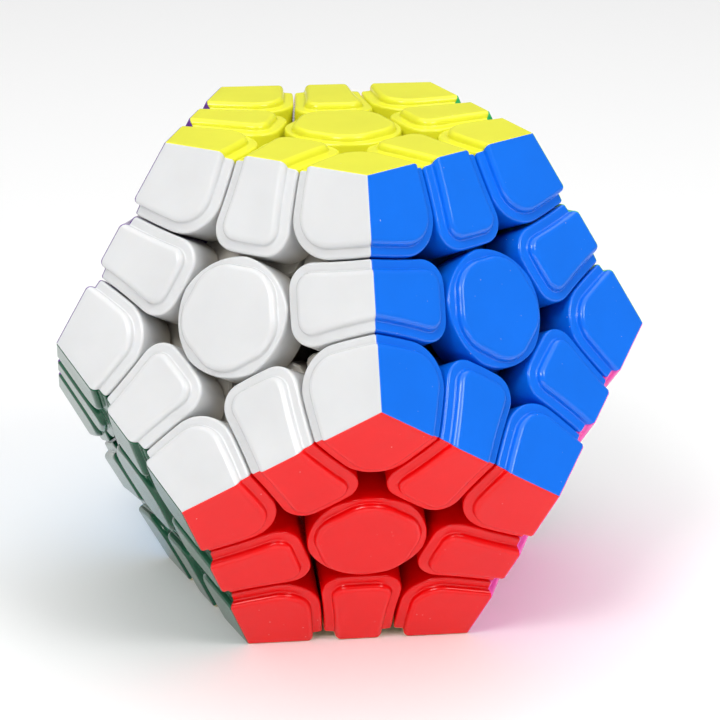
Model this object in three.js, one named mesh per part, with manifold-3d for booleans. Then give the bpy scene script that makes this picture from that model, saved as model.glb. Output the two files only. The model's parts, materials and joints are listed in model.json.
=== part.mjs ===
// A twelve-sided twisty puzzle: twelve layers, each turning about the axis of its own face.
// Millimetres, +Z up. The puzzle rests on its cream face, with the origin at that face's middle.
//
// Every piece is one cell of the same pattern. A face's turning layer is a solid of revolution
// about the face's axis, so a layer passes its neighbours at any angle. A centre lies in one
// layer only, an edge in the two layers of its faces and a corner in three. Each piece has an
// outer block, and below it a foot that reaches under its neighbours, which holds it in. The
// centres are held to a hollow core by screws and springs.

import * as THREE from "three";
import { mergeVertices } from "three/addons/utils/BufferGeometryUtils.js";
import Module from "manifold-3d";

const wasm = await Module();
wasm.setup();

// ---- driving dimensions ----
const EDGE_LENGTH = 33.5; // an edge of the twelve-sided body
const CUT_FROM_CORNER = 11.6; // from a body corner to the cut across the body's edge
const FOOT_OVERHANG = 2; // how far feet reach under their neighbours' blocks
const PIECE_GAP = 0.5; // air between neighbouring pieces
const BLOCK_DEPTH = 6.3; // from a face's middle in to the sphere that the feet turn under
const FOOT_DEPTH = 9.5; // from that sphere in to the flat inner sides of the feet
const INNER_CORNER_CUT = 3.4; // what a block's inner corners lose along each side
const INNER_CORNER_FLOOR = 0.8; // where those cuts end, above the sphere
const CENTRE_CORNER_CUT = 1.9; // what rounding takes off a centre's five corners

const STEM_RADIUS = 4.6; // the centre's stem
const STEM_REACH = 3.5; // how far the stem comes in past the feet
const STEM_ROOT = 2; // how far the stem goes into its centre's block
const CUP_FLOOR_THICKNESS = 2.5; // the stem's end, which the spring presses on
const SCREW_RADIUS = 1.5;
const SCREW_HEAD_RADIUS = 2.9;
const SCREW_HEAD_HEIGHT = 1.4;
const SPRING_RADIUS = 2.6;
const SPRING_LENGTH = 3.7;
const FIT_GAP = 0.4; // air round the screw, under the spring, round the stem and inside its end
const HEAD_GAP = 0.5; // air round a screw's head
const HEAD_ROOM = 1; // air above a screw's head

const CORE_RADIUS = 9.5; // the ball in the middle
const CORE_ARM_RADIUS = 4; // its twelve arms

const BRIDGE_RADIUS = 2.2; // the hidden tie between two joined pieces
const BRIDGE_REACH_DEG = 5; // how far the tie runs to either side of the cut it crosses

const ROUND_FACETS = 20; // facets round the layers, a whole number for each fifth of a turn
const CENTRE_FACETS = 10; // facets round the centres' blocks
const ARM_FACETS = 8; // facets round the stems and the core's arms
const SCREW_FACETS = 6; // facets round the screws and their bores
const FAR = 3 * EDGE_LENGTH; // well outside the puzzle
const WELD = 1e-4; // points nearer than this are one
const HALVINGS = 40; // steps of a search between two bounds

// ---- colours, one for each face: [upper face, the face opposite it] ----
const COLOURS = {
  yellow: 0xf2f23c,
  white: 0xececee,
  blue: 0x1b76e8,
  light_green: 0x1fb45a,
  orange: 0xff8a1e,
  purple: 0x6e3c96,
  red: 0xf02d2d,
  pink: 0xff5ac8,
  grey: 0x8d9196,
  light_blue: 0x7cc8f0,
  dark_green: 0x195f3c,
  cream: 0xf3e9c0,
};
const RING_PAIRS = [
  ["white", "grey"],
  ["blue", "light_blue"],
  ["light_green", "dark_green"],
  ["orange", "red"],
  ["purple", "pink"],
];
const FIRST_AZIMUTH_DEG = -126; // the first upper face, measured from +X about +Z

// ---- the twelve-sided body ----
const GOLDEN = (1 + Math.sqrt(5)) / 2;
const FACE_DISTANCE = (EDGE_LENGTH * GOLDEN ** 2) / (2 * Math.sqrt(3 - GOLDEN)); // middle to face
const FACE_TILT = Math.acos(1 / Math.sqrt(5)); // between the axes of two faces that share an edge
const CORNER_DISTANCE = (EDGE_LENGTH * Math.sqrt(3) * GOLDEN) / 2;
const PENTAGON_CORNER = (3 * Math.PI) / 5;
const ANGLE_TOLERANCE = 0.01;
const radians = THREE.MathUtils.degToRad;

// ---- the works inside it, as distances from the middle ----
const TURN_RADIUS = FACE_DISTANCE - BLOCK_DEPTH; // feet lie inside this radius, blocks outside it
const HOLLOW_DISTANCE = TURN_RADIUS - FOOT_DEPTH;
const STEM_START = HOLLOW_DISTANCE - STEM_REACH;
const STEM_TOP = TURN_RADIUS + STEM_ROOT;
const CUP_FLOOR = STEM_START + CUP_FLOOR_THICKNESS;
const SPRING_START = CUP_FLOOR + FIT_GAP;
const SPRING_END = SPRING_START + SPRING_LENGTH;
const HEAD_END = SPRING_END + SCREW_HEAD_HEIGHT;
const CUP_TOP = HEAD_END + HEAD_ROOM;
const CUP_RADIUS = Math.max(SCREW_HEAD_RADIUS, SPRING_RADIUS) + HEAD_GAP;
const CORE_ARM_END = STEM_START - FIT_GAP;

// The edge of a layer's feet, from the layer's axis: the feet of its neighbours leave this much
// for the centre's stem.
const FOOT_ANGLE = FACE_TILT - Math.asin((STEM_RADIUS + FIT_GAP) / HOLLOW_DISTANCE);

function faceAxes() {
  const axes = { yellow: new THREE.Vector3(0, 0, 1), cream: new THREE.Vector3(0, 0, -1) };
  RING_PAIRS.forEach(([upper, opposite], i) => {
    const azimuth = radians(FIRST_AZIMUTH_DEG + 72 * i);
    const sin = Math.sin(FACE_TILT);
    const height = Math.cos(FACE_TILT);
    const axis = new THREE.Vector3(sin * Math.cos(azimuth), sin * Math.sin(azimuth), height);
    axes[upper] = axis;
    axes[opposite] = axis.clone().negate();
  });
  return axes;
}

const AXES = faceAxes();
const FACES = Object.keys(COLOURS);
const touch = (a, b) => Math.abs(AXES[a].angleTo(AXES[b]) - FACE_TILT) < ANGLE_TOLERANCE;
const neighbours = (face) => FACES.filter((other) => touch(face, other));

// The pairs of faces that share an edge, and the threes that share a corner.
const EDGES = FACES.flatMap((a, i) =>
  FACES.slice(i + 1)
    .filter((b) => touch(a, b))
    .map((b) => [a, b]),
);
const CORNERS = EDGES.flatMap(([a, b]) =>
  FACES.slice(FACES.indexOf(b) + 1)
    .filter((c) => touch(a, c) && touch(b, c))
    .map((c) => [a, b, c]),
);

const sumOf = (faces) => faces.reduce((sum, f) => sum.add(AXES[f]), new THREE.Vector3());
const direction = (faces) => sumOf(faces).normalize();

// Turns local +Z to the face's axis, with local +X towards one of its neighbours.
function faceFrame(face) {
  const z = AXES[face];
  const neighbour = AXES[neighbours(face)[0]];
  const x = neighbour.clone().addScaledVector(z, -neighbour.dot(z)).normalize();
  return new THREE.Matrix4().makeBasis(x, new THREE.Vector3().crossVectors(z, x), z);
}

// ---- solids ----
function solid(geometry, matrix = new THREE.Matrix4()) {
  const source = geometry.clone();
  source.deleteAttribute("normal");
  source.deleteAttribute("uv");
  source.applyMatrix4(matrix);
  const merged = mergeVertices(source, WELD);
  const index = merged.index.array;
  const triangles = [];
  for (let i = 0; i < index.length; i += 3) {
    const [a, b, c] = [index[i], index[i + 1], index[i + 2]];
    if (a !== b && b !== c && c !== a) triangles.push(a, b, c); // none of no area at a pole
  }
  return new wasm.Manifold(
    new wasm.Mesh({
      numProp: 3,
      vertProperties: new Float32Array(merged.attributes.position.array),
      triVerts: new Uint32Array(triangles),
    }),
  );
}

function toGeometry(manifold) {
  const { vertProperties, triVerts } = manifold.getMesh();
  const geometry = new THREE.BufferGeometry();
  geometry.setAttribute("position", new THREE.BufferAttribute(new Float32Array(vertProperties), 3));
  geometry.setIndex(new THREE.BufferAttribute(new Uint32Array(triVerts), 1));
  geometry.computeVertexNormals();
  return geometry;
}

// A body turned about local +Z from a closed [radius, height] outline that runs anticlockwise.
function turned(outline, facets) {
  const points = outline.map(([radius, height]) => new THREE.Vector2(radius, height));
  return new THREE.LatheGeometry(points, facets).rotateX(Math.PI / 2);
}

// A round bar along local +Z from one height to another.
function bar(radius, from, to, facets = ARM_FACETS) {
  return turned([[0, from], [radius, from], [radius, to], [0, to]], facets);
}

const union = (solids) => solids.reduce((sum, one) => sum.add(one));

// Everything on the inner side of twelve faces at this distance from the middle.
function twelveSided(distance) {
  const block = new THREE.BoxGeometry(2 * FAR, 2 * FAR, FAR);
  block.translate(0, 0, distance + FAR / 2);
  let body = solid(new THREE.BoxGeometry(1.5 * FAR, 1.5 * FAR, 1.5 * FAR));
  for (const face of FACES) body = body.subtract(solid(block, faceFrame(face)));
  return body;
}

// The outer cut is a cone about the face's axis: height = CUT_HEIGHT + CUT_RISE * radius. It
// crosses each body edge that runs down from the face at CUT_FROM_CORNER, and meets the sphere
// where it leaves the feet their overhang.
function outerCut() {
  const top = direction(["yellow", "white", "blue"]).multiplyScalar(CORNER_DISTANCE);
  const low = direction(["white", "blue", "red"]).multiplyScalar(CORNER_DISTANCE);
  const crossing = top.clone().lerp(low, CUT_FROM_CORNER / EDGE_LENGTH);
  const radius = Math.hypot(crossing.x, crossing.y);
  const inner = FOOT_ANGLE - Math.asin(FOOT_OVERHANG / TURN_RADIUS);
  const fall = crossing.z - TURN_RADIUS * Math.cos(inner);
  const rise = fall / (radius - TURN_RADIUS * Math.sin(inner));
  return [crossing.z - rise * radius, rise];
}

const [CUT_HEIGHT, CUT_RISE] = outerCut();
const CUT_SLOPE = Math.atan(CUT_RISE);

// How far from a face's middle its two nearest cuts cross, on the face.
function cutCrossing() {
  const out = direction(["yellow", "white", "blue"]);
  const along = new THREE.Vector3(out.x, out.y, 0).normalize();
  const top = new THREE.Vector3(0, 0, FACE_DISTANCE);
  let [low, high] = [0, CORNER_DISTANCE];
  for (let i = 0; i < HALVINGS; i += 1) {
    const middle = (low + high) / 2;
    const point = top.clone().addScaledVector(along, middle);
    const height = point.dot(AXES.white);
    const radius = Math.sqrt(point.lengthSq() - height ** 2);
    if (height > CUT_HEIGHT + CUT_RISE * radius) high = middle;
    else low = middle;
  }
  return low;
}

const CUT_CROSSING = cutCrossing();

// The turning layer of a face about local +Z, drawn in by inset on all its cut surfaces.
function layer(inset) {
  const height = CUT_HEIGHT + inset / Math.cos(CUT_SLOPE);
  const turn = TURN_RADIUS - inset;
  // where the cone meets the sphere that the feet lie within
  const a = 1 + CUT_RISE ** 2;
  const b = 2 * height * CUT_RISE;
  const c = height ** 2 - turn ** 2;
  const step = (-b + Math.sqrt(b ** 2 - 4 * a * c)) / (2 * a);
  const inner = Math.atan2(step, height + CUT_RISE * step);
  const foot = FOOT_ANGLE - Math.asin(inset / turn);
  const between = (foot + inner) / 2;
  return turned(
    [
      [0, inset / Math.sin(FOOT_ANGLE)],
      [turn * Math.sin(foot), turn * Math.cos(foot)],
      [turn * Math.sin(between), turn * Math.cos(between)],
      [step, height + CUT_RISE * step],
      [FAR, height + CUT_RISE * FAR],
      [FAR, 2 * FAR],
      [0, 2 * FAR],
    ],
    ROUND_FACETS,
  );
}

// The four-sided holes where a centre, two edges and a corner meet, one for each corner of a
// face. Its own corners lie on the cuts, so each block loses its inner corner evenly.
function innerCornerCuts(face) {
  const frame = faceFrame(face);
  const inverse = frame.clone().invert();
  const leaning = Math.atan(CUT_CROSSING / FACE_DISTANCE);
  const floor = (TURN_RADIUS + INNER_CORNER_FLOOR) * Math.cos(leaning);
  const around = CORNERS.filter((corner) => corner.includes(face));
  return around.map((corner) => {
    const out = direction(corner).applyMatrix4(inverse);
    const bearing = Math.atan2(out.y, out.x);
    // each cut leaves the crossing at half a pentagon's corner to the line outwards
    const half = PENTAGON_CORNER / 2;
    const outline = [-half, half, Math.PI - half, Math.PI + half].map((turn) => {
      const x = CUT_CROSSING + INNER_CORNER_CUT * Math.cos(turn);
      const y = INNER_CORNER_CUT * Math.sin(turn);
      return new THREE.Vector2(x, y).rotateAround(new THREE.Vector2(), bearing);
    });
    const shape = new THREE.Shape(outline);
    const hole = new THREE.ExtrudeGeometry(shape, { depth: FAR, bevelEnabled: false });
    hole.translate(0, 0, floor);
    return solid(hole, frame);
  });
}

// ---- what the pieces are cut from ----
const BODY = twelveSided(FACE_DISTANCE);
const SHELL = BODY.subtract(twelveSided(HOLLOW_DISTANCE));
const LAYER_IN = {};
const LAYER_OUT = {};
const CORNER_CUTS = {};
for (const face of FACES) {
  LAYER_IN[face] = solid(layer(PIECE_GAP / 2), faceFrame(face));
  LAYER_OUT[face] = solid(layer(-PIECE_GAP / 2), faceFrame(face));
  CORNER_CUTS[face] = innerCornerCuts(face);
}

function cell(faces) {
  let piece = SHELL;
  for (const face of FACES) {
    if (faces.includes(face)) piece = piece.intersect(LAYER_IN[face]);
    else piece = piece.subtract(LAYER_OUT[face]);
  }
  for (const cut of faces.flatMap((face) => CORNER_CUTS[face])) piece = piece.subtract(cut);
  return piece;
}

// The centre's block: a round cap whose underside is a cone that clears the feet below it.
function centreBlock(face) {
  const radius = CUT_CROSSING - CENTRE_CORNER_CUT;
  const underside = Math.asin(radius / TURN_RADIUS) / 2;
  const peak = (TURN_RADIUS + PIECE_GAP) / Math.cos(underside);
  const rim = peak - radius * Math.tan(underside);
  const round = [
    [0, peak],
    [radius, rim],
    [radius, FAR],
    [0, FAR],
  ];
  let block = BODY.intersect(solid(turned(round, CENTRE_FACETS), faceFrame(face)));
  for (const other of neighbours(face)) block = block.subtract(LAYER_OUT[other]);
  for (const cut of CORNER_CUTS[face]) block = block.subtract(cut);
  return block;
}

function centre(face) {
  const frame = faceFrame(face);
  const stem = solid(bar(STEM_RADIUS, STEM_START, STEM_TOP), frame);
  const bore = solid(bar(SCREW_RADIUS + FIT_GAP, 0, SPRING_END, SCREW_FACETS), frame);
  const cup = solid(bar(CUP_RADIUS, CUP_FLOOR, CUP_TOP, SCREW_FACETS), frame);
  return centreBlock(face).add(stem).subtract(bore).subtract(cup);
}

// The tie across the cut of one face, along the edge that two others share.
function bridge(edge, across) {
  const axis = AXES[across];
  const sideways = new THREE.Vector3().crossVectors(axis, direction(edge)).normalize();
  const at = (angle) => axis.clone().applyAxisAngle(sideways, angle);
  const radius = TURN_RADIUS - 2 * BRIDGE_RADIUS;
  const from = at(FOOT_ANGLE - radians(BRIDGE_REACH_DEG)).multiplyScalar(radius);
  const to = at(FOOT_ANGLE + radians(BRIDGE_REACH_DEG)).multiplyScalar(radius);
  const along = to.clone().sub(from);
  const up = new THREE.Vector3(0, 0, 1);
  const turn = new THREE.Quaternion().setFromUnitVectors(up, along.clone().normalize());
  const place = new THREE.Matrix4().compose(from, turn, new THREE.Vector3(1, 1, 1));
  return solid(bar(BRIDGE_RADIUS, 0, along.length()), place);
}

function core() {
  const ball = solid(new THREE.SphereGeometry(CORE_RADIUS, 12, 8));
  const arm = bar(CORE_ARM_RADIUS, 0, CORE_ARM_END);
  const hole = bar(SCREW_RADIUS + FIT_GAP, 0, FAR, SCREW_FACETS);
  const arms = FACES.map((face) => solid(arm, faceFrame(face)));
  const holes = FACES.map((face) => solid(hole, faceFrame(face)));
  return union([ball, ...arms]).subtract(union(holes));
}

// The twelve screws with their springs, as one solid that meets in the middle of the core.
function screws() {
  const outline = [
    [0, 0],
    [SCREW_RADIUS, 0],
    [SCREW_RADIUS, SPRING_START],
    [SPRING_RADIUS, SPRING_START],
    [SPRING_RADIUS, SPRING_END],
    [SCREW_HEAD_RADIUS, SPRING_END],
    [SCREW_HEAD_RADIUS, HEAD_END],
    [0, HEAD_END],
  ];
  return union(FACES.map((face) => solid(turned(outline, SCREW_FACETS), faceFrame(face))));
}

// ---- the puzzle ----
const puzzle = new THREE.Group();
puzzle.position.z = FACE_DISTANCE;

function addPart(name, manifold, colour, roughness = 0.32, metalness = 0) {
  const material = new THREE.MeshStandardMaterial({ color: colour, roughness, metalness });
  const mesh = new THREE.Mesh(toGeometry(manifold), material);
  mesh.name = name;
  puzzle.add(mesh);
}

// A lower edge and the bottom corner below it are one node, tied where the tie can't be seen.
const isLowerEdge = (edge) => edge.every((face) => touch(face, "cream"));
const isBottomCorner = (corner) => corner.includes("cream");

for (const face of FACES) {
  addPart(`centre_${face}`, centre(face), COLOURS[face]);
}
for (const edge of EDGES) {
  if (isLowerEdge(edge)) {
    const corner = [...edge, "cream"];
    const joined = union([cell(edge), cell(corner), bridge(edge, "cream")]);
    addPart(`edge_and_corner_${corner.join("_")}`, joined, COLOURS[edge[0]]);
  } else {
    addPart(`edge_${edge.join("_")}`, cell(edge), COLOURS[edge[0]]);
  }
}
for (const corner of CORNERS) {
  const name = `corner_${corner.join("_")}`;
  if (!isBottomCorner(corner)) addPart(name, cell(corner), COLOURS[corner[0]]);
}
addPart("core", core(), 0x2a2c30, 0.5);
addPart("tension_screws", screws(), 0xb8bcc2, 0.3, 1);

export default puzzle;
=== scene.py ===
"""The looks of a twelve-sided twisty puzzle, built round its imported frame.

Metres, +Z up, the same frame as the CAD: the puzzle rests on its cream face, with the origin
at that face's middle. All faces have the same shape, so three shells are shaped once, for a
centre, for one side of an edge piece and for one side of a corner piece, and turned into place.
"""

import json
import math

import bmesh
import bpy
import numpy as np
from mathutils import Matrix, Vector


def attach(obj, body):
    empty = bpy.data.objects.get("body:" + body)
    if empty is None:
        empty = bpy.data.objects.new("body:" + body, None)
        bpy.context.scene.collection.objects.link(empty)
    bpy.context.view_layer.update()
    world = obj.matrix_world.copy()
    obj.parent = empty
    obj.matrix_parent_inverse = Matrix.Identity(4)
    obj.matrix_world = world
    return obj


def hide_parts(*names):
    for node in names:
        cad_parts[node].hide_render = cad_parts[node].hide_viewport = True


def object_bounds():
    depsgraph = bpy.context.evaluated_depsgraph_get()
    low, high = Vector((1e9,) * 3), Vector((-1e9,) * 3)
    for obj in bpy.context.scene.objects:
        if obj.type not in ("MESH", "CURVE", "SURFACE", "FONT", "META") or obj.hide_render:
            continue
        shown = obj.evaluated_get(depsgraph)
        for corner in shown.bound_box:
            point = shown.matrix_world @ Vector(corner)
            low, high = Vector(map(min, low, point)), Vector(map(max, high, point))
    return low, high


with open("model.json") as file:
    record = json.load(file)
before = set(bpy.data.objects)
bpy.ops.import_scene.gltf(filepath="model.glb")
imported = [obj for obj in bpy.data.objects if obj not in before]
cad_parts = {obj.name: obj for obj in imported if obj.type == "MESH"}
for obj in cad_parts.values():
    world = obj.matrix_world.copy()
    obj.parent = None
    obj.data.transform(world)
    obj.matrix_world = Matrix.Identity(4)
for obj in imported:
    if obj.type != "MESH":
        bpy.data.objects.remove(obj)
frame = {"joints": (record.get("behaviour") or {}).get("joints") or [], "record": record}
CAD_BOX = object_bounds()

MM = 0.001

# ---- the body, read from the frame ----
FACE_DISTANCE = (CAD_BOX[1][2] - CAD_BOX[0][2]) / 2
MIDDLE = np.array([0.0, 0.0, FACE_DISTANCE])
GOLDEN = (1 + math.sqrt(5)) / 2
EDGE_LENGTH = FACE_DISTANCE * 2 * math.sqrt(3 - GOLDEN) / GOLDEN**2
CORNER_DISTANCE = EDGE_LENGTH * math.sqrt(3) * GOLDEN / 2
FACE_TILT = math.acos(1 / math.sqrt(5))  # between the axes of two faces that share an edge
FIFTH = 2 * math.pi / 5

# ---- how the pieces are cut, as in the CAD ----
CUT_FROM_CORNER = 11.6 * MM
FOOT_OVERHANG = 2 * MM
TURN_RADIUS = FACE_DISTANCE - 6.3 * MM
FOOT_ANGLE = math.radians(49.987)  # how far a layer's feet reach round from its axis
STEM_RADIUS = 4.6 * MM
STEM_START = 18 * MM  # distances like this one are from the middle of the puzzle
CUP_RADIUS = 3.3 * MM  # inside the stem's end, which holds the spring
CUP_FLOOR = 20.5 * MM
BORE_RADIUS = 1.8 * MM
SCREW_RADIUS = 1.5 * MM
HEAD_RADIUS = 2.9 * MM
HEAD_FROM = 24.6 * MM
HEAD_TO = 26 * MM
SPRING_FROM = 20.9 * MM
SPRING_RADIUS = 2.6 * MM
CORE_RADIUS = 9.5 * MM
ARM_RADIUS = 4 * MM
ARM_END = 17.6 * MM

# ---- how a coloured shell is shaped ----
SHELL_GAP = 0.3 * MM  # air between two neighbouring shells
STEP_INSET = 1.5 * MM  # from a shell's outline to the foot of its raised top
STEP_HEIGHT = 1.05 * MM
TOP_ROUND = 0.85 * MM  # the rim of the raised top
STEP_FILLET = 0.26 * MM  # where the step meets the ledge
LEDGE_DROP = 0.05 * MM
LEDGE_ROUND = 0.4 * MM  # the ledge's outer rim
CENTRE_CORNER_ROUND = 7.4 * MM
CENTRE_TOP_CORNER_ROUND = 5.8 * MM  # the raised top's corners are tighter than the rim's
EDGE_CORNER_ROUND = 4.2 * MM
CORNER_CORNER_ROUND = 6.4 * MM
SEAM_WIDTH = 0.16 * MM  # the small bevel along each colour seam
SEAM_DEPTH = 0.1 * MM
SHELL_FLOOR = TURN_RADIUS + 0.35 * MM  # how near the middle a shell's walls come

WALL_ROWS = 7
UNDERSIDE_ROWS = 3
FLAT_RING = 0.1 * MM  # a narrow ring of faces that keeps a flat flat beside a rounding
TOP_ROUND_ROWS = 7
SMALL_ROUND_ROWS = 5
HALVINGS = 40  # steps of a search between two bounds
SHARP_ANGLE = math.radians(28)

# ---- the hidden works ----
FOOT_GAP = 0.3 * MM
FOOT_REACH = math.radians(26)  # further than any foot reaches from its piece's middle
FOOT_RAYS = 24
FOOT_ROUND = 0.9 * MM
FEET_FROM = 23.2 * MM  # the feet's inner sides, from the middle
NECKS = {2: 4.4 * MM, 3: 3.8 * MM}  # neck radius of an edge's foot and of a corner's
ROUNDING = 0.3 * MM  # on the rims of the stems and the core's arms
ARM_FLARE = 0.9 * MM  # how much wider an arm starts at the core's ball
BORE_FROM = 3 * MM
BALL_SUBDIVISIONS = 4
SCREW_FROM = 6 * MM
THREAD_PITCH = 0.8 * MM
THREAD_TURNS = 12
THREAD_ROOT = 0.84  # shares of SCREW_RADIUS
SHANK = 0.96
POINT = 0.55
SOCKET_RADIUS = 1.3 * MM
SOCKET_DEPTH = 0.8 * MM
HEAD_RIM = 0.15 * MM
HEAD_DOME = 0.5 * MM
WASHER_RIM = 0.1 * MM
WIRE_RADIUS = 0.28 * MM
SPRING_TURNS = 5
FLAT_SHARE = 0.12  # of the wire, at each end, where the turns lie flat
WIRE_SIDES = 8
ROUND_SIDES = 32

COLOURS = {
    "yellow": (0.83, 0.82, 0.035),
    "white": (0.68, 0.685, 0.69),
    "blue": (0.003, 0.155, 0.78),
    "light_green": (0.02, 0.44, 0.11),
    "orange": (1.0, 0.25, 0.012),
    "purple": (0.13, 0.035, 0.27),
    "red": (0.84, 0.001, 0.002),
    "pink": (0.95, 0.10, 0.50),
    "grey": (0.24, 0.25, 0.27),
    "light_blue": (0.19, 0.55, 0.86),
    "dark_green": (0.004, 0.085, 0.038),
    "cream": (0.87, 0.76, 0.42),
}
FACES = list(COLOURS)


# ---- faces, edges and corners ----
def unit(v):
    return v / np.linalg.norm(v)


def face_axes():
    axes = {}
    for joint in frame["joints"]:
        if joint["name"].startswith("turn_"):
            axes[joint["name"][len("turn_"):]] = unit(np.array(joint["axis"], float))
    axes["cream"] = -axes["yellow"]
    return axes


AXES = face_axes()


def share_an_edge(a, b):
    return abs(AXES[a] @ AXES[b] - math.cos(FACE_TILT)) < 1e-3


EDGES = [(a, b) for i, a in enumerate(FACES) for b in FACES[i + 1:] if share_an_edge(a, b)]
CORNERS = [
    (a, b, c)
    for a, b in EDGES
    for c in FACES[FACES.index(b) + 1:]
    if share_an_edge(a, c) and share_an_edge(b, c)
]


def direction(faces):
    """The middle direction of a piece with these faces."""
    return unit(sum(AXES[f] for f in faces))


def neighbour_of(face):
    return next(other for other in FACES if share_an_edge(face, other))


def turned_to(axis, towards):
    """Turns local +Z to the axis and local +Y to the side where towards lies."""
    y = unit(towards - axis * (towards @ axis))
    return np.column_stack([np.cross(y, axis), y, axis])


def outer_cut():
    """The height and slope of the cut's cone, which passes through two places as in the CAD."""
    top = direction(["yellow", "white", "blue"]) * CORNER_DISTANCE
    low = direction(["white", "blue", "red"]) * CORNER_DISTANCE
    crossing = top + (low - top) * CUT_FROM_CORNER / EDGE_LENGTH
    radius = math.hypot(crossing[0], crossing[1])
    inner = FOOT_ANGLE - math.asin(FOOT_OVERHANG / TURN_RADIUS)
    fall = crossing[2] - TURN_RADIUS * math.cos(inner)
    rise = fall / (radius - TURN_RADIUS * math.sin(inner))
    return crossing[2] - rise * radius, math.atan(rise)


CUT_HEIGHT, CUT_SLOPE = outer_cut()


# ---- the outline of a shell, in its face's own frame: +Z out of the face, +Y to the piece ----
def neighbour_axis(bearing):
    """The axis of the neighbouring face that lies at this bearing from +X."""
    sin = math.sin(FACE_TILT)
    return np.array([sin * math.cos(bearing), sin * math.sin(bearing), math.cos(FACE_TILT)])


def outside_layer(points, bearing):
    """How far points lie outside the turning layer of the neighbour at this bearing."""
    axis = neighbour_axis(bearing)
    height = points @ axis
    radius = np.sqrt(np.maximum((points * points).sum(-1) - height * height, 0))
    return (CUT_HEIGHT + math.tan(CUT_SLOPE) * radius - height) * math.cos(CUT_SLOPE)


def rounded_both(a, b, radius):
    """The distance outside both limits, with the corner between them rounded."""
    beyond = np.hypot(np.maximum(a + radius, 0), np.maximum(b + radius, 0))
    return np.minimum(np.maximum(a, b), -radius) + beyond


class Centre:
    """A round shell, held in by its five neighbours' layers."""

    name = "centre"
    bearings = []
    rays = np.linspace(0, 2 * math.pi, 144, endpoint=False)

    def outside(self, points, inset):
        sides = [-outside_layer(points, math.pi / 2 + FIFTH * k) for k in range(5)]
        share = np.clip(inset / STEP_INSET, 0, 1)
        radius = CENTRE_CORNER_ROUND + (CENTRE_TOP_CORNER_ROUND - CENTRE_CORNER_ROUND) * share
        return np.max([rounded_both(sides[k - 1], sides[k], radius) for k in range(5)], axis=0)


class Edge:
    """One side of an edge piece: the seam lies across +Y, with the piece's other face beyond it."""

    name = "edge"
    bearings = [math.pi / 2]
    rays = math.pi + np.linspace(0, math.pi, 108)

    def outside(self, points, _inset):
        inner = outside_layer(points, math.pi / 2)
        ends = [-outside_layer(points, math.pi / 2 + turn) for turn in (-FIFTH, FIFTH)]
        return np.max([rounded_both(inner, end, EDGE_CORNER_ROUND) for end in ends], axis=0)


class Corner:
    """One side of a corner piece: two seams meet at the body's corner, which lies along +Y."""

    name = "corner"
    bearings = [math.pi / 2 + FIFTH / 2, math.pi / 2 - FIFTH / 2]
    rays = math.radians(216) + np.linspace(0, math.radians(108), 90)

    def outside(self, points, _inset):
        one, other = (outside_layer(points, bearing) for bearing in self.bearings)
        return rounded_both(one, other, CORNER_CORNER_ROUND)


def ray_start(kind, height, back=0.0):
    """Where the rays start at this height: on the seams, or as far behind them as back says."""
    height = np.asarray(height, float)
    if not kind.bearings:
        return np.stack([0 * height, 0 * height, height], -1)
    reach = height * math.tan(FACE_TILT / 2) - back / math.cos(FACE_TILT / 2)
    half = abs(kind.bearings[0] - math.pi / 2)
    return np.stack([0 * height, reach / math.cos(half), height], -1)


def on_outline(kind, depth, inset, rays, back):
    """The points at this depth below the face where each ray is inset within the outline."""
    depth, inset, rays, back = np.broadcast_arrays(depth, inset, rays, back)
    start = ray_start(kind, FACE_DISTANCE - depth, back)
    along = np.stack([np.cos(rays), np.sin(rays), 0 * rays], -1)
    low, high = np.zeros(depth.shape), np.full(depth.shape, EDGE_LENGTH)
    for _ in range(HALVINGS):
        middle = (low + high) / 2
        outside = kind.outside(start + along * middle[..., None], inset)
        beyond = outside + inset + SHELL_GAP / 2 > 0
        low, high = np.where(beyond, low, middle), np.where(beyond, middle, high)
    return start + along * low[..., None]


def quarter_turn(rows):
    return np.radians(np.linspace(0, 90, rows))


def profile():
    """[inset, depth] from the raised top's flat to the wall, across the step and the ledge."""
    rim = STEP_HEIGHT + LEDGE_DROP
    rows = [(STEP_INSET + TOP_ROUND + FLAT_RING, 0)]
    for turn in quarter_turn(TOP_ROUND_ROWS):
        inset = STEP_INSET + TOP_ROUND * (1 - math.sin(turn))
        rows.append((inset, TOP_ROUND * (1 - math.cos(turn))))
    for turn in quarter_turn(SMALL_ROUND_ROWS):
        inset = STEP_INSET - STEP_FILLET * (1 - math.cos(turn))
        rows.append((inset, STEP_HEIGHT - STEP_FILLET * (1 - math.sin(turn))))
    rows.append((STEP_INSET - STEP_FILLET - FLAT_RING, STEP_HEIGHT))
    rows.append((LEDGE_ROUND + FLAT_RING, rim))
    for turn in quarter_turn(SMALL_ROUND_ROWS):
        rows.append((LEDGE_ROUND * (1 - math.sin(turn)), rim + LEDGE_ROUND * (1 - math.cos(turn))))
    return np.array(rows)


def wall_rows(kind, top_depth, rays, back):
    """The points down the wall, from the ledge's rim to the sphere that the feet turn under."""
    low, high = top_depth, np.full(rays.shape, FACE_DISTANCE / 2)
    for _ in range(HALVINGS):
        middle = (low + high) / 2
        points = on_outline(kind, middle, 0.0, rays, back)
        inside = np.linalg.norm(points, axis=-1) < SHELL_FLOOR
        low, high = np.where(inside, low, middle), np.where(inside, middle, high)
    shares = np.linspace(0, 1, WALL_ROWS + 1)[1:, None]
    return on_outline(kind, top_depth + (low - top_depth) * shares, 0.0, rays, back)


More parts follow.
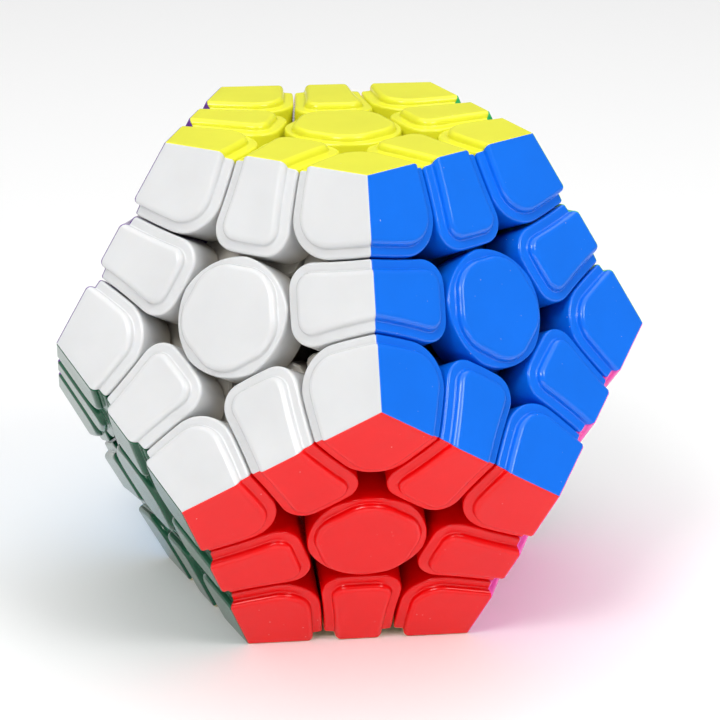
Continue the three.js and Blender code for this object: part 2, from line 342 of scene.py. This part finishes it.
def shell(kind):
    """(points, faces) of a closed shell, with a small bevel along each seam."""
    seams = len(kind.bearings)
    rays = kind.rays
    back = np.full(rays.shape, SEAM_WIDTH if seams else 0.0)
    sink = np.zeros(rays.shape)
    if seams:
        rays = np.concatenate([rays[:1], rays, rays[-1:]])
        back = np.concatenate([[0.0], back, [0.0]])
        sink = np.concatenate([[SEAM_DEPTH], sink, [SEAM_DEPTH]])
    inset, depth = profile().T[:, :, None]
    top = on_outline(kind, depth + sink, inset + sink, rays, back)
    walls = wall_rows(kind, depth[-1] + sink, rays, back)
    under = unit(ray_start(kind, FACE_DISTANCE)) * SHELL_FLOOR
    shares = np.linspace(0, 1, UNDERSIDE_ROWS + 2)[1:-1, None, None]
    floor = walls[-1] + (under - walls[-1]) * shares
    floor *= SHELL_FLOOR / np.linalg.norm(floor, axis=-1, keepdims=True)
    grid = np.concatenate([top, walls, floor])
    rows, columns = grid.shape[:2]
    points = [*grid.reshape(-1, 3), under]
    last = len(points) - 1

    def at(row, column):
        return row * columns + column % columns

    spans = columns - 1 if seams else columns
    faces = [
        (at(r, c), at(r, c + 1), at(r + 1, c + 1), at(r + 1, c))
        for r in range(rows - 1)
        for c in range(spans)
    ]
    faces += [(at(rows - 1, c), at(rows - 1, c + 1), last) for c in range(spans)]
    if not seams:
        faces.append(tuple(at(0, c) for c in range(columns)))
        return np.array(points), faces
    first_side = [at(r, 0) for r in range(rows)]
    last_side = [at(r, columns - 1) for r in range(rows)]
    rim = [at(0, c) for c in range(1, columns - 1)]
    if seams == 1:
        faces.append(tuple(rim))
        faces.append((rim[0], rim[-1], last_side[0], first_side[0]))
        faces.append((*first_side, last, *reversed(last_side)))
    else:
        peak, sunk = len(points), len(points) + 1
        points.append(ray_start(kind, FACE_DISTANCE, SEAM_WIDTH))
        points.append(ray_start(kind, FACE_DISTANCE - SEAM_DEPTH))
        faces.append((*rim, peak))
        faces.append((peak, rim[0], first_side[0], sunk))
        faces.append((peak, sunk, last_side[0], rim[-1]))
        faces.append((sunk, *first_side, last))
        faces.append((sunk, last, *reversed(last_side)))
    return np.array(points), faces


# ---- making pieces ----
def new_piece(name, points, faces, material, body, node):
    """A mesh piece that rides on a body and stands for a CAD node."""
    mesh = bpy.data.meshes.new(name)
    mesh.from_pydata([tuple(p) for p in points], [], faces)
    mesh.validate()
    work = bmesh.new()
    work.from_mesh(mesh)
    bmesh.ops.recalc_face_normals(work, faces=work.faces)
    work.to_mesh(mesh)
    work.free()
    mesh.shade_smooth()
    mesh.set_sharp_from_angle(angle=SHARP_ANGLE)
    mesh.materials.append(material)
    piece = bpy.data.objects.new(name, mesh)
    bpy.context.scene.collection.objects.link(piece)
    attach(piece, body)
    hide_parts(node)


def placed(points, axis, towards):
    """Points of a piece made about local +Z, turned to a face's axis."""
    return points @ turned_to(axis, towards).T + MIDDLE


def turned_solid(outline, facets):
    """(points, faces) of a [radius, height] outline turned about +Z. It starts and ends on the axis."""
    inner = outline[1:-1]
    turns = np.linspace(0, 2 * math.pi, facets, endpoint=False)
    points = [(r * math.cos(t), r * math.sin(t), h) for r, h in inner for t in turns]
    points += [(0, 0, outline[0][1]), (0, 0, outline[-1][1])]
    low, high = len(points) - 2, len(points) - 1
    top = (len(inner) - 1) * facets
    faces = []
    for i in range(facets):
        j = (i + 1) % facets
        faces.append((low, j, i))
        faces.append((high, top + i, top + j))
        for r in range(len(inner) - 1):
            a = r * facets
            faces.append((a + i, a + j, a + facets + j, a + facets + i))
    return np.array(points), faces


def ring_solid(outline, facets):
    """(points, faces) of a closed [radius, height] outline turned about +Z, clear of the axis."""
    turns = np.linspace(0, 2 * math.pi, facets, endpoint=False)
    points = [(r * math.cos(t), r * math.sin(t), h) for r, h in outline for t in turns]
    faces = []
    for r in range(len(outline)):
        a, b = r * facets, (r + 1) % len(outline) * facets
        for i in range(facets):
            j = (i + 1) % facets
            faces.append((a + i, a + j, b + j, b + i))
    return np.array(points), faces


def tube(path, radius, sides):
    """(points, faces) of a round wire along a path, closed at both ends."""
    path = np.array(path)
    tangents = np.gradient(path, axis=0)
    tangents /= np.linalg.norm(tangents, axis=1, keepdims=True)
    out = path.copy()
    out[:, 2] = 0
    normals = out - tangents * (out * tangents).sum(1, keepdims=True)
    normals /= np.linalg.norm(normals, axis=1, keepdims=True)
    sideways = np.cross(tangents, normals)
    turns = np.linspace(0, 2 * math.pi, sides, endpoint=False)
    rings = (
        path[:, None]
        + radius * np.cos(turns)[None, :, None] * normals[:, None]
        + radius * np.sin(turns)[None, :, None] * sideways[:, None]
    )
    points = rings.reshape(-1, 3)
    faces = [tuple(range(sides)), tuple(range(len(points) - sides, len(points)))]
    for k in range(len(path) - 1):
        for i in range(sides):
            j = (i + 1) % sides
            faces.append((k * sides + i, k * sides + j, (k + 1) * sides + j, (k + 1) * sides + i))
    return points, faces


# ---- the hidden works ----
def foot_reach(holds, clears, bearings, inset):
    """How far, as an angle, a foot reaches from its piece's direction at each bearing."""
    low, high = np.zeros(bearings.shape), np.full(bearings.shape, FOOT_REACH)
    for _ in range(HALVINGS):
        middle = (low + high) / 2
        points = np.stack(
            [np.sin(middle) * np.cos(bearings), np.sin(middle) * np.sin(bearings), np.cos(middle)], -1
        )
        gaps = [np.arccos(np.clip(points @ axis, -1, 1)) - FOOT_ANGLE for axis in holds]
        gaps += [FOOT_ANGLE - np.arccos(np.clip(points @ axis, -1, 1)) for axis in clears]
        beyond = np.max(gaps, axis=0) + inset > 0
        low, high = np.where(beyond, low, middle), np.where(beyond, middle, high)
    return low


def foot(holds, clears, neck, shares):
    """(points, faces) of one share of a foot with its neck, about local +Z.

    holds and clears are the axes of layers. The share lies round the local +Y side, and the seams
    to the other shares run through the middle line.
    """
    bearings = math.pi / 2 + np.linspace(-math.pi, math.pi, FOOT_RAYS + 1) / shares
    reach = foot_reach(holds, clears, bearings, FOOT_GAP / TURN_RADIUS)
    for _ in range(2):
        soft = (reach[:-2] + 2 * reach[1:-1] + reach[2:]) / 4
        reach = np.concatenate([reach[:1], soft, reach[-1:]])
    neck_reach = np.minimum(neck / TURN_RADIUS, reach)
    rows = [
        (FEET_FROM, reach * 0.90),
        (FEET_FROM + FOOT_ROUND / 3, reach * 0.97),
        (FEET_FROM + FOOT_ROUND, reach),
        (TURN_RADIUS - FOOT_GAP - FOOT_ROUND / 2, reach),
        (TURN_RADIUS - FOOT_GAP - FOOT_ROUND / 8, reach * 0.97),
        (TURN_RADIUS - FOOT_GAP, reach * 0.93),
        (TURN_RADIUS - FOOT_GAP, neck_reach * 1.06),
        (TURN_RADIUS - FOOT_GAP * 0.7, neck_reach),
        (SHELL_FLOOR + FLAT_RING, neck_reach),
    ]
    points = []
    for radius, angle in rows:
        ring = [np.sin(angle) * np.cos(bearings), np.sin(angle) * np.sin(bearings), np.cos(angle)]
        points += list(radius * np.stack(ring, -1))
    low, high = len(points), len(points) + 1
    points += [np.array([0, 0, rows[0][0]]), np.array([0, 0, rows[-1][0]])]
    columns, last_row = FOOT_RAYS + 1, (len(rows) - 1) * (FOOT_RAYS + 1)
    faces = []
    for i in range(FOOT_RAYS):
        faces += [(low, i + 1, i), (high, last_row + i, last_row + i + 1)]
        for r in range(len(rows) - 1):
            a = r * columns + i
            faces.append((a, a + 1, a + columns + 1, a + columns))
    faces.append((low, *[r * columns for r in range(len(rows))], high))
    faces.append((high, *[r * columns + FOOT_RAYS for r in reversed(range(len(rows)))], low))
    return np.array(points), faces


def ring_arc(centre, radius, start, end, steps=5):
    """[radius, height] points along an arc, its angles in degrees from outwards towards +Z."""
    turns = np.radians(np.linspace(start, end, steps))
    return [(centre[0] + radius * math.cos(t), centre[1] + radius * math.sin(t)) for t in turns]


STEM_OUTLINE = [
    (BORE_RADIUS, STEM_START),
    *ring_arc((STEM_RADIUS - ROUNDING, STEM_START + ROUNDING), ROUNDING, -90, 0),
    (STEM_RADIUS, TURN_RADIUS - ROUNDING),
    (STEM_RADIUS + ROUNDING, SHELL_FLOOR - 0.05 * MM),
    (CUP_RADIUS, SHELL_FLOOR - 0.05 * MM),
    *ring_arc((CUP_RADIUS - ROUNDING, CUP_FLOOR + ROUNDING), ROUNDING, 0, -90),
    (BORE_RADIUS, CUP_FLOOR),
]
SCREW_OUTLINE = [
    (0, SCREW_FROM),
    (SCREW_RADIUS * POINT, SCREW_FROM),
    *[
        (SCREW_RADIUS * (1.0 if k % 2 else THREAD_ROOT), SCREW_FROM + THREAD_PITCH * (k + 1) / 2)
        for k in range(THREAD_TURNS * 2)
    ],
    (SCREW_RADIUS * SHANK, SCREW_FROM + THREAD_PITCH * (THREAD_TURNS + 1)),
    (SCREW_RADIUS * SHANK, HEAD_FROM),
    *ring_arc((HEAD_RADIUS - HEAD_RIM, HEAD_FROM + HEAD_RIM), HEAD_RIM, -90, 0, 3),
    *ring_arc((HEAD_RADIUS - HEAD_DOME, HEAD_TO - HEAD_DOME), HEAD_DOME, 0, 90),
    (SOCKET_RADIUS, HEAD_TO),
    (SOCKET_RADIUS * 0.9, HEAD_TO - SOCKET_DEPTH),
    (0, HEAD_TO - SOCKET_DEPTH),
]
WASHER_OUTLINE = [
    (SCREW_RADIUS * 1.02, HEAD_FROM - 0.34 * MM),
    *ring_arc((SPRING_RADIUS - WASHER_RIM, HEAD_FROM - 0.24 * MM), WASHER_RIM, -90, 0, 3),
    *ring_arc((SPRING_RADIUS - WASHER_RIM, HEAD_FROM - 0.12 * MM), WASHER_RIM, 0, 90, 3),
    (SCREW_RADIUS * 1.02, HEAD_FROM - 0.02 * MM),
]


def spring():
    """A compression spring whose end turns lie flat."""
    first = SPRING_FROM + WIRE_RADIUS
    last = HEAD_FROM - 0.36 * MM - WIRE_RADIUS
    path = []
    for t in np.linspace(0, 1, SPRING_TURNS * 20 + 1):
        angle = 2 * math.pi * SPRING_TURNS * t
        rise = min(max((t - FLAT_SHARE) / (1 - 2 * FLAT_SHARE), 0), 1)
        flat = min(t, FLAT_SHARE) + max(t - (1 - FLAT_SHARE), 0)
        squeeze = 2 * WIRE_RADIUS * flat / (2 * FLAT_SHARE)
        height = first + squeeze + (last - first - 2 * WIRE_RADIUS) * rise
        radius = SPRING_RADIUS - WIRE_RADIUS
        path.append((radius * math.cos(angle), radius * math.sin(angle), height))
    return tube(path, WIRE_RADIUS, WIRE_SIDES)


def add_core():
    """The hollow core: a ball with twelve bored arms, joined with soft fillets."""
    ball = bpy.data.meshes.new("core_ball")
    shape = bmesh.new()
    bmesh.ops.create_icosphere(shape, subdivisions=BALL_SUBDIVISIONS, radius=CORE_RADIUS)
    shape.to_mesh(ball)
    shape.free()
    core = bpy.data.objects.new("core_ball", ball)
    bpy.context.scene.collection.objects.link(core)
    core.location = MIDDLE
    arms, bores = [], []
    for face in FACES:
        arm_outline = [
            (0, 0),
            (ARM_RADIUS + ARM_FLARE, 0),
            (ARM_RADIUS + ARM_FLARE, CORE_RADIUS - 0.2 * MM),
            (ARM_RADIUS + ARM_FLARE * 0.3, CORE_RADIUS + 0.5 * MM),
            (ARM_RADIUS, CORE_RADIUS + 1.4 * MM),
            *ring_arc((ARM_RADIUS - ROUNDING, ARM_END - ROUNDING), ROUNDING, 0, 90),
            (0, ARM_END),
        ]
        bore_outline = [
            (0, BORE_FROM),
            (BORE_RADIUS, BORE_FROM),
            (BORE_RADIUS, 2 * ARM_END),
            (0, 2 * ARM_END),
        ]
        for outline, kept in ((arm_outline, arms), (bore_outline, bores)):
            points, faces = turned_solid(outline, ROUND_SIDES)
            points = placed(points, AXES[face], AXES[neighbour_of(face)])
            mesh = bpy.data.meshes.new("core_tool")
            mesh.from_pydata([tuple(p) for p in points], [], faces)
            tool = bpy.data.objects.new("core_tool", mesh)
            bpy.context.scene.collection.objects.link(tool)
            kept.append(tool)
    for tools, operation in ((arms, "UNION"), (bores, "DIFFERENCE")):
        for tool in tools:
            cut = core.modifiers.new("cut", "BOOLEAN")
            cut.operation = operation
            cut.solver = "EXACT"
            cut.object = tool
    bpy.context.view_layer.update()
    graph = bpy.context.evaluated_depsgraph_get()
    mesh = bpy.data.meshes.new_from_object(core.evaluated_get(graph))
    mesh.transform(core.matrix_world)
    for tool in [core, *arms, *bores]:
        bpy.data.objects.remove(tool)
    mesh.shade_smooth()
    mesh.set_sharp_from_angle(angle=SHARP_ANGLE)
    mesh.materials.clear()
    mesh.materials.append(CORE_MATERIAL)
    piece = bpy.data.objects.new("core_frame", mesh)
    bpy.context.scene.collection.objects.link(piece)
    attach(piece, "core")
    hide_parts("core")


# ---- materials ----
PLASTIC_IOR = 1.46
SHELL_ROUGHNESS = 0.18
GLOW = 0.12  # how much light the pale plastics let through
GLOW_DEPTH = 1.6 * MM
GLOW_COLOUR = (1.0, 0.72, 0.5)
DUST_COLOUR = (0.72, 0.70, 0.66)
CLOUD_SCALE = 85  # noise scales, per metre
GLOSS_SCALE = 140
STEEL_SCALE = 900
DUST_SCALE = 2300
SKIN_SCALE = 2400
SKIN_DEPTH = 0.05 * MM
# painted shade: between these distances from the middle, the shells' walls are darkened by these colour
# multipliers deep in the puzzle, and on the pale plastics the painted shade is warm
PAINTED_SHADE_FROM = 31.0 * MM
PAINTED_SHADE_TO = 36.2 * MM
PAINTED_DEEP_SHADE = (0.6, 0.6, 0.6)
PAINTED_DEEP_SHADES = {
    "white": (1.0, 0.94, 0.84),
    "cream": (1.0, 0.94, 0.84),
    "yellow": (0.95, 0.90, 0.90),
    "blue": (0.30, 0.30, 0.30),
    "red": (0.62, 0.50, 0.50),
}


def plastic(name, colour, roughness, specks=0.0, glow=0.0, grain=0.02, painted_deep_shade=(1, 1, 1)):
    """Moulded plastic: faint clouding, specks of dust, uneven gloss and a fine skin.

    Deep in the puzzle the colour is multiplied by the given painted shade, which stands in for the
    shade in the gaps between the pieces.
    """
    material = bpy.data.materials.new(name)
    material.use_nodes = True
    nodes, links = material.node_tree.nodes, material.node_tree.links
    shader = nodes["Principled BSDF"]
    shader.inputs["IOR"].default_value = PLASTIC_IOR
    shader.inputs["Specular IOR Level"].default_value = 0.5
    if glow:
        shader.inputs["Subsurface Weight"].default_value = glow
        shader.inputs["Subsurface Radius"].default_value = GLOW_COLOUR
        shader.inputs["Subsurface Scale"].default_value = GLOW_DEPTH
    place = nodes.new("ShaderNodeTexCoord").outputs["Object"]

    def noise(scale, detail):
        node = nodes.new("ShaderNodeTexNoise")
        node.inputs["Scale"].default_value = scale
        node.inputs["Detail"].default_value = detail
        links.new(place, node.inputs["Vector"])
        return node.outputs["Fac"]

    def ramp(value, stops):
        node = nodes.new("ShaderNodeValToRGB")
        elements = node.color_ramp.elements
        for element, (position, shade) in zip(elements, stops):
            element.position = position
            element.color = (*shade, 1)
        links.new(value, node.inputs["Fac"])
        return node.outputs["Color"]

    base = np.array(colour)
    clouds = ramp(noise(CLOUD_SCALE, 3), [(0.32, base * 0.965), (0.68, np.minimum(base * 1.03, 1))])
    if specks:
        dust = ramp(noise(DUST_SCALE, 1), [(0.80, (0, 0, 0)), (0.825, (1, 1, 1))])
        mix = nodes.new("ShaderNodeMix")
        mix.data_type = "RGBA"
        strength = nodes.new("ShaderNodeMath")
        strength.operation = "MULTIPLY"
        strength.inputs[1].default_value = specks
        links.new(dust, strength.inputs[0])
        links.new(strength.outputs[0], mix.inputs["Factor"])
        links.new(clouds, mix.inputs["A"])
        mix.inputs["B"].default_value = (*DUST_COLOUR, 1)
        clouds = mix.outputs["Result"]
    # painted shade: the colour is darkened the nearer the surface lies to the puzzle's middle
    reach = nodes.new("ShaderNodeVectorMath")
    reach.operation = "DISTANCE"
    reach.inputs[1].default_value = MIDDLE
    links.new(place, reach.inputs[0])
    depth = nodes.new("ShaderNodeMapRange")
    depth.interpolation_type = "SMOOTHSTEP"
    depth.inputs["From Min"].default_value = PAINTED_SHADE_FROM
    depth.inputs["From Max"].default_value = PAINTED_SHADE_TO
    links.new(reach.outputs["Value"], depth.inputs["Value"])
    painted_shade_mix = nodes.new("ShaderNodeMix")
    painted_shade_mix.data_type = "RGBA"
    painted_shade_mix.inputs["A"].default_value = (*painted_deep_shade, 1)
    painted_shade_mix.inputs["B"].default_value = (1, 1, 1, 1)
    links.new(depth.outputs["Result"], painted_shade_mix.inputs["Factor"])
    shade = nodes.new("ShaderNodeMix")
    shade.data_type = "RGBA"
    shade.blend_type = "MULTIPLY"
    shade.inputs["Factor"].default_value = 1
    links.new(clouds, shade.inputs["A"])
    links.new(painted_shade_mix.outputs["Result"], shade.inputs["B"])
    links.new(shade.outputs["Result"], shader.inputs["Base Color"])

    gloss = nodes.new("ShaderNodeMapRange")
    gloss.inputs["To Min"].default_value = roughness * 0.84
    gloss.inputs["To Max"].default_value = roughness * 1.16
    links.new(noise(GLOSS_SCALE, 4), gloss.inputs["Value"])
    links.new(gloss.outputs["Result"], shader.inputs["Roughness"])

    bump = nodes.new("ShaderNodeBump")
    bump.inputs["Strength"].default_value = grain
    bump.inputs["Distance"].default_value = SKIN_DEPTH
    links.new(noise(SKIN_SCALE, 3), bump.inputs["Height"])
    links.new(bump.outputs["Normal"], shader.inputs["Normal"])
    return material


def metal(name, colour, roughness):
    """Plated steel with fine drawn lines."""
    material = bpy.data.materials.new(name)
    material.use_nodes = True
    nodes, links = material.node_tree.nodes, material.node_tree.links
    shader = nodes["Principled BSDF"]
    shader.inputs["Metallic"].default_value = 1.0
    shader.inputs["Base Color"].default_value = (*colour, 1)
    place = nodes.new("ShaderNodeTexCoord").outputs["Object"]
    lines = nodes.new("ShaderNodeTexNoise")
    lines.inputs["Scale"].default_value = STEEL_SCALE
    lines.inputs["Detail"].default_value = 2
    links.new(place, lines.inputs["Vector"])
    gloss = nodes.new("ShaderNodeMapRange")
    gloss.inputs["To Min"].default_value = roughness * 0.8
    gloss.inputs["To Max"].default_value = roughness * 1.3
    links.new(lines.outputs["Fac"], gloss.inputs["Value"])
    links.new(gloss.outputs["Result"], shader.inputs["Roughness"])
    bump = nodes.new("ShaderNodeBump")
    bump.inputs["Strength"].default_value = 0.15
    bump.inputs["Distance"].default_value = 0.02 * MM
    links.new(lines.outputs["Fac"], bump.inputs["Height"])
    links.new(bump.outputs["Normal"], shader.inputs["Normal"])
    return material


SHELL_MATERIALS = {
    face: plastic(
        f"plastic_{face}",
        colour,
        roughness=SHELL_ROUGHNESS,
        specks=0.5 if face in ("red", "blue", "white") else 0.3,
        glow=GLOW if face in ("white", "cream", "yellow") else 0.0,
        # painted shade deep in the gaps, its strength and warmth set per colour
        painted_deep_shade=PAINTED_DEEP_SHADES.get(face, PAINTED_DEEP_SHADE),
    )
    for face, colour in COLOURS.items()
}
CORE_MATERIAL = plastic("plastic_core", (0.030, 0.032, 0.036), roughness=0.5, grain=0.06)
STEEL = metal("steel_screw", (0.60, 0.60, 0.62), roughness=0.24)
SPRING_STEEL = metal("steel_spring", (0.52, 0.53, 0.55), roughness=0.3)
WASHER_STEEL = metal("steel_washer", (0.70, 0.68, 0.62), roughness=0.28)


# ---- which body carries which piece ----
BODIES = frame["record"]["behaviour"]["bodies"]


def node_of(faces):
    """The CAD node that a piece stands for. A bottom corner shares one with the edge above it."""
    sides = [f for f in faces if f != "cream"]
    lower = all(share_an_edge(f, "cream") for f in sides)
    if len(faces) == 1:
        return f"centre_{faces[0]}"
    if len(sides) == 2 and lower:
        return f"edge_and_corner_{sides[0]}_{sides[1]}_cream"
    kind = "edge" if len(faces) == 2 else "corner"
    return f"{kind}_{'_'.join(faces)}"


def body_of_node(node):
    return next(body for body, members in BODIES.items() if node in members)


def add(name, shape, material, node):
    points, faces = shape
    new_piece(name, points, faces, material, body_of_node(node), node)


# ---- the shells ----
SHELLS = {kind.name: shell(kind) for kind in (Centre(), Edge(), Corner())}


def shell_of(kind, face, towards):
    points, faces = SHELLS[kind]
    return placed(points, AXES[face], towards), faces


def foot_of(piece, face):
    """The share of a piece's foot that belongs to one of its faces."""
    middle = direction(piece)
    turn = turned_to(middle, AXES[face])
    holds = [AXES[f] @ turn for f in piece]
    clears = [AXES[f] @ turn for f in FACES if f not in piece]
    points, faces = foot(holds, clears, NECKS[len(piece)], len(piece))
    return points @ turn.T + MIDDLE, faces


def together(one, other):
    points, faces = one
    more, more_faces = other
    shifted = [tuple(i + len(points) for i in face) for face in more_faces]
    return np.concatenate([points, more]), [*faces, *shifted]


def add_coloured(name, kind, piece, face, towards):
    shape = together(shell_of(kind, face, towards), foot_of(piece, face))
    add(name, shape, SHELL_MATERIALS[face], node_of(piece))


for face in FACES:
    cap = shell_of("centre", face, AXES[neighbour_of(face)])
    add(f"centre_{face}_cap", cap, SHELL_MATERIALS[face], node_of([face]))
for pair in EDGES:
    for face, other in (pair, pair[::-1]):
        name = f"edge_{'_'.join(pair)}_side_{face}"
        add_coloured(name, "edge", pair, face, AXES[other])
for three in CORNERS:
    for face in three:
        name = f"corner_{'_'.join(three)}_side_{face}"
        add_coloured(name, "corner", three, face, direction(three))


# ---- the stems, core, screws, springs and washers ----
STEM = ring_solid(STEM_OUTLINE, ROUND_SIDES)
SCREW = turned_solid(SCREW_OUTLINE, ROUND_SIDES)
WASHER = ring_solid(WASHER_OUTLINE, ROUND_SIDES)
SPRING = spring()


def on_axis(shape, face):
    points, faces = shape
    return placed(points, AXES[face], AXES[neighbour_of(face)]), faces


for face in FACES:
    stem, screw, washer, coil = (on_axis(shape, face) for shape in (STEM, SCREW, WASHER, SPRING))
    add(f"centre_{face}_stem", stem, SHELL_MATERIALS[face], node_of([face]))
    add(f"tension_screw_{face}", screw, STEEL, "tension_screws")
    add(f"tension_washer_{face}", washer, WASHER_STEEL, "tension_screws")
    add(f"tension_spring_{face}", coil, SPRING_STEEL, "tension_screws")

add_core()


# ---- the camera, at the photograph's view ----
CAMERA_AZIMUTH = math.radians(-6.783)
CAMERA_ELEVATION = math.radians(20.459)
CAMERA_ROLL = math.radians(0.338)
CAMERA_DISTANCE = 377.68 * MM
FOCAL_PIXELS = 2436.95
FRAME_PIXELS = 720
PRINCIPAL_POINT = (342.11, 355.26)
SENSOR_WIDTH = 36.0

back = Vector(
    (
        math.sin(CAMERA_AZIMUTH) * math.cos(CAMERA_ELEVATION),
        -math.cos(CAMERA_AZIMUTH) * math.cos(CAMERA_ELEVATION),
        math.sin(CAMERA_ELEVATION),
    )
)
lens = bpy.data.cameras.new("camera")
lens.sensor_width = SENSOR_WIDTH
lens.lens = FOCAL_PIXELS / FRAME_PIXELS * SENSOR_WIDTH
lens.shift_x = (FRAME_PIXELS / 2 - PRINCIPAL_POINT[0]) / FRAME_PIXELS
lens.shift_y = (PRINCIPAL_POINT[1] - FRAME_PIXELS / 2) / FRAME_PIXELS
lens.clip_start = 0.01
camera = bpy.data.objects.new("camera", lens)
bpy.context.scene.collection.objects.link(camera)
look = back.to_track_quat("Z", "Y").to_matrix() @ Matrix.Rotation(CAMERA_ROLL, 3, "Z")
camera.matrix_world = Matrix.Translation(Vector(MIDDLE) + back * CAMERA_DISTANCE) @ look.to_4x4()
bpy.context.scene.camera = camera


# ---- light ----
WORLD_STRENGTH = 0.22


def area_light(name, azimuth, elevation, distance, size, watts):
    """A white light aimed at the puzzle's middle. Azimuth 0 is in front, and a size is in metres."""
    light = bpy.data.lights.new(name, "AREA")
    light.shape = "RECTANGLE"
    light.size, light.size_y = size
    light.energy = watts
    lamp = bpy.data.objects.new(name, light)
    bpy.context.scene.collection.objects.link(lamp)
    a, e = math.radians(azimuth), math.radians(elevation)
    out = Vector((math.sin(a) * math.cos(e), -math.cos(a) * math.cos(e), math.sin(e)))
    lamp.matrix_world = (
        Matrix.Translation(Vector(MIDDLE) + out * distance)
        @ out.to_track_quat("Z", "Y").to_matrix().to_4x4()
    )


area_light("key", -36, 48, 0.75, (0.24, 0.24), 2.1)
area_light("fill", 42, 44, 0.8, (0.28, 0.28), 1.8)
area_light("front_low", -4, -1, 0.8, (0.7, 0.16), 1.0)
area_light("top", 10, 88, 1.7, (2.6, 2.6), 24.0)
area_light("behind", 170, 62, 0.9, (0.8, 0.6), 1.0)

world = bpy.data.worlds.new("studio")
world.use_nodes = True
background = world.node_tree.nodes["Background"]
background.inputs["Color"].default_value = (1, 1, 1, 1)
background.inputs["Strength"].default_value = WORLD_STRENGTH
bpy.context.scene.world = world
bpy.context.scene.view_settings.view_transform = "Standard"


# ---- the floor ----
FLOOR_RADIUS = 3.0
FLOOR_COLOUR = (0.95, 0.95, 0.95)
FLOOR_DROP = 0.02 * MM  # so that the floor and the puzzle's lowest faces don't share a plane


def floor_disc():
    """(points, faces) of a wide flat disc, with its rings closer together towards the middle."""
    points, faces = [(0, 0, 0)], []
    rings, spokes = 12, 96
    for r in range(1, rings + 1):
        radius = FLOOR_RADIUS * (r / rings) ** 2
        points += [
            (radius * math.cos(t), radius * math.sin(t), 0.0)
            for t in np.linspace(0, 2 * math.pi, spokes, endpoint=False)
        ]
    for i in range(spokes):
        j = (i + 1) % spokes
        faces.append((0, 1 + i, 1 + j))
        for r in range(rings - 1):
            a = 1 + r * spokes
            faces.append((a + i, a + spokes + i, a + spokes + j, a + j))
    return points, faces


def paper(name, colour):
    """Matt white paper with a barely visible tooth."""
    material = bpy.data.materials.new(name)
    material.use_nodes = True
    nodes, links = material.node_tree.nodes, material.node_tree.links
    shader = nodes["Principled BSDF"]
    shader.inputs["Base Color"].default_value = (*colour, 1)
    shader.inputs["Roughness"].default_value = 0.85
    shader.inputs["Specular IOR Level"].default_value = 0.2
    tooth = nodes.new("ShaderNodeTexNoise")
    tooth.inputs["Scale"].default_value = 900
    links.new(nodes.new("ShaderNodeTexCoord").outputs["Object"], tooth.inputs["Vector"])
    bump = nodes.new("ShaderNodeBump")
    bump.inputs["Strength"].default_value = 0.03
    bump.inputs["Distance"].default_value = 0.05 * MM
    links.new(tooth.outputs["Fac"], bump.inputs["Height"])
    links.new(bump.outputs["Normal"], shader.inputs["Normal"])
    return material


floor_mesh = bpy.data.meshes.new("floor")
floor_vertices, floor_faces = floor_disc()
floor_mesh.from_pydata(floor_vertices, [], floor_faces)
floor_mesh.materials.append(paper("floor_paper", FLOOR_COLOUR))
floor = bpy.data.objects.new("floor", floor_mesh)
bpy.context.scene.collection.objects.link(floor)
floor.location.z = -FLOOR_DROP
